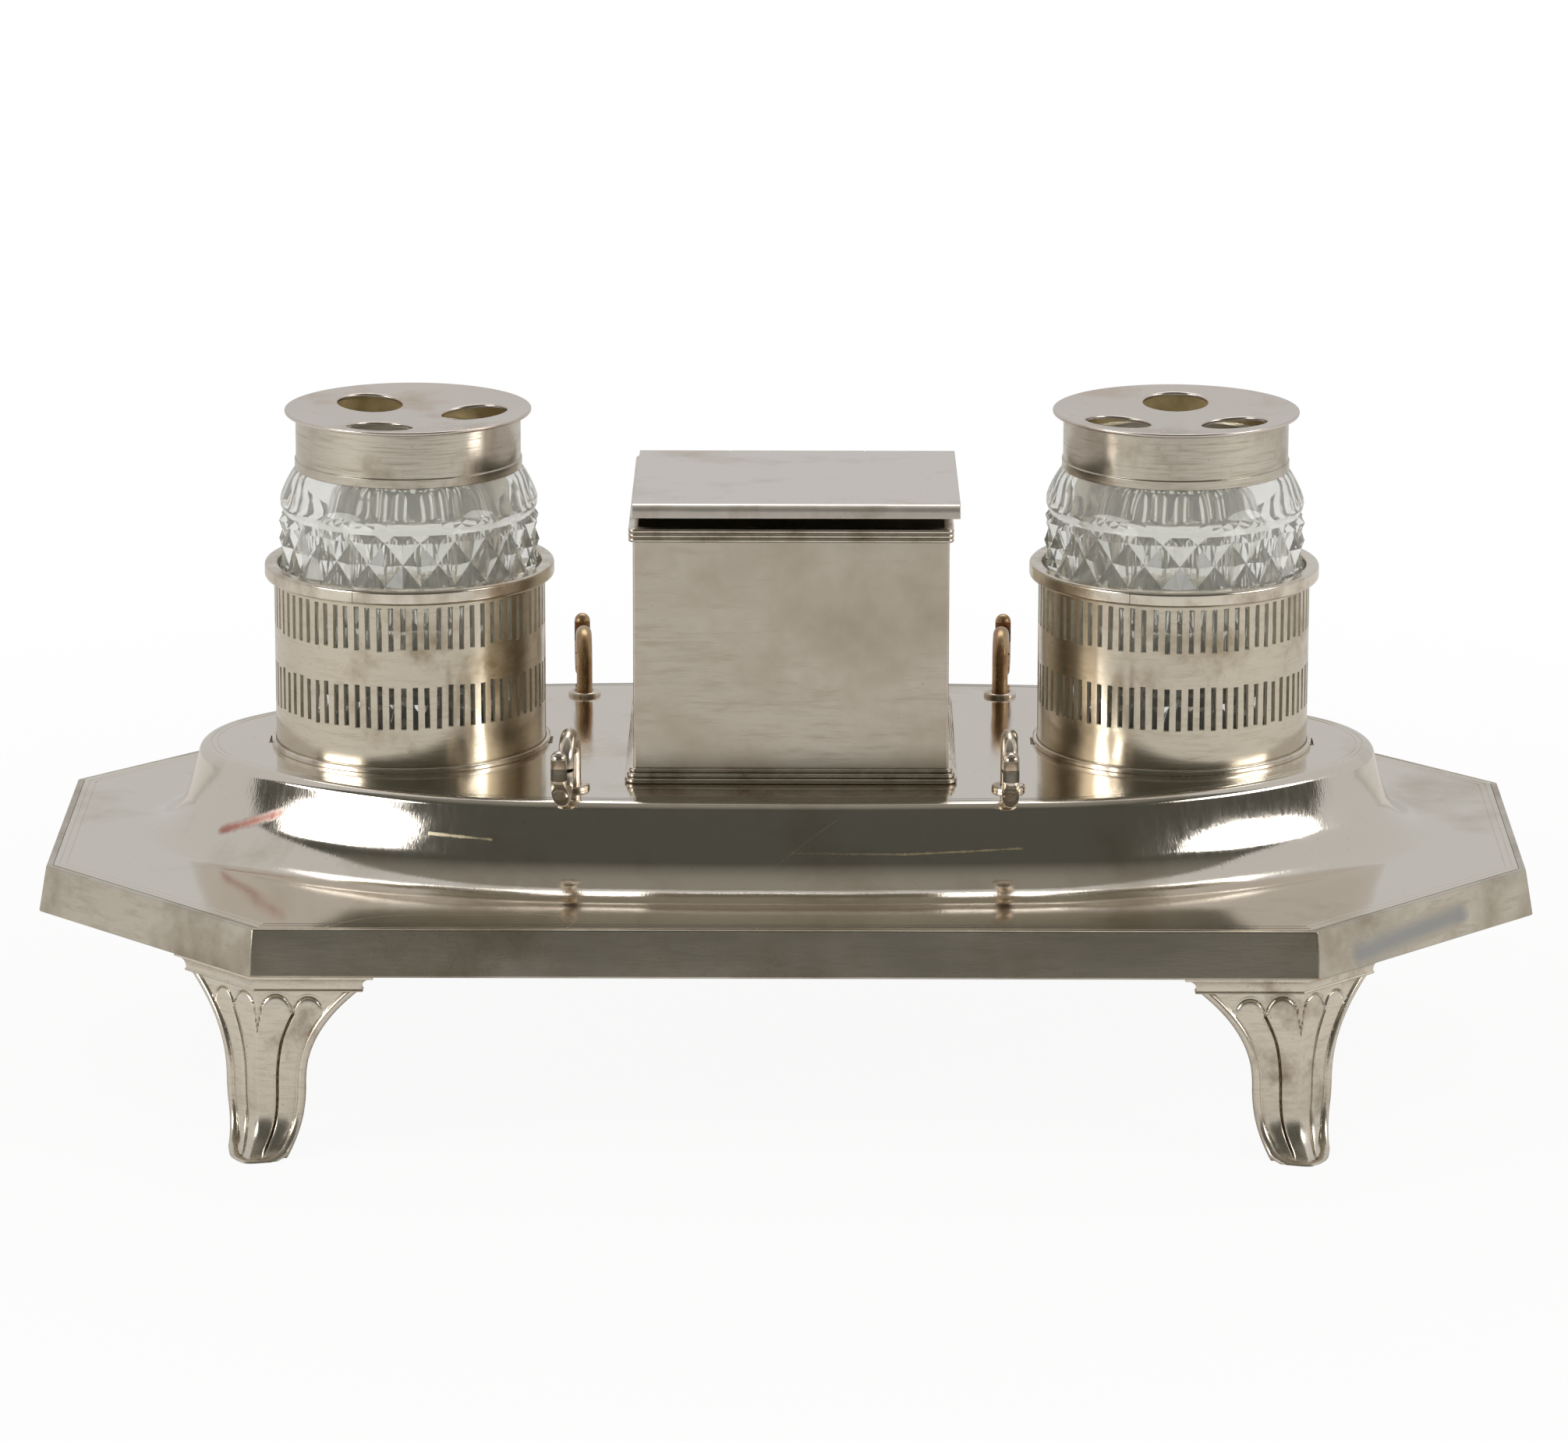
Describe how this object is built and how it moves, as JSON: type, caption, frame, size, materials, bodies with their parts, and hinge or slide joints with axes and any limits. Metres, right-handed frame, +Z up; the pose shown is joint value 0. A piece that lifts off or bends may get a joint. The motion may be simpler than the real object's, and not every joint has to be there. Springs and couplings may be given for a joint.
{
  "type": "desk inkstand",
  "caption": "Low octagonal footed tray with a raised oval platform carrying two glass wells in pierced galleries, a hinged box and wire pen rests.",
  "frame": {"origin": "floor point under the middle of the tray, at the bottom centre of the bounding box", "axes": "+X to the right along the tray's length seen from the front, +Y from the front to the back, +Z up"},
  "size_m": [0.3032, 0.1712, 0.1354],
  "materials": {
    "silver_plate": "worn silver plate over copper, lightly tarnished",
    "cut_glass": "clear cut glass with a diamond band"
  },
  "bodies": {
    "stand": {"tray_top": "silver_plate", "apron_band": "silver_plate", "foot_front_left": "silver_plate", "foot_front_right": "silver_plate", "foot_rear_left": "silver_plate", "foot_rear_right": "silver_plate", "box_base_moulding": "silver_plate", "box_body": "silver_plate", "box_floor": "silver_plate", "box_rim_moulding": "silver_plate", "hinge_centre_knuckle": "silver_plate", "hinge_pin": "silver_plate", "gallery_sleeve_left": "silver_plate", "gallery_sleeve_right": "silver_plate", "gallery_rim_left": "silver_plate", "gallery_rim_right": "silver_plate", "gallery_base_ring_left": "silver_plate", "gallery_base_ring_right": "silver_plate", "pen_rest_front_left": "silver_plate", "pen_rest_front_right": "silver_plate", "pen_rest_rear_left": "silver_plate", "pen_rest_rear_right": "silver_plate", "pen_rest_collars": "silver_plate", "pen_rest_nuts": "silver_plate"},
    "lid": {"box_lid": "silver_plate", "lid_knuckles": "silver_plate"},
    "bottle_left": {"bottle_left": "cut_glass"},
    "bottle_right": {"bottle_right": "cut_glass"},
    "cap_left": {"cap_collar_left": "silver_plate", "cap_disc_left": "silver_plate"},
    "cap_right": {"cap_collar_right": "silver_plate", "cap_disc_right": "silver_plate"}
  },
  "joints": [
    {"name": "lid_hinge", "type": "hinge", "parent": "stand", "child": "lid", "pos_m": [0.002, 0.0363, 0.11775], "axis": [-1, 0, 0], "range_deg": [-3.6, 100]},
    {"name": "bottle_left_lift", "type": "slide", "parent": "stand", "child": "bottle_left", "axis": [0, 0, 1], "range_m": [0, 0.065]},
    {"name": "bottle_right_lift", "type": "slide", "parent": "stand", "child": "bottle_right", "axis": [0, 0, 1], "range_m": [0, 0.065]},
    {"name": "cap_left_lift", "type": "slide", "parent": "bottle_left", "child": "cap_left", "axis": [0, 0, 1], "range_m": [0, 0.03]},
    {"name": "cap_right_lift", "type": "slide", "parent": "bottle_right", "child": "cap_right", "axis": [0, 0, 1], "range_m": [0, 0.03]}
  ]
}
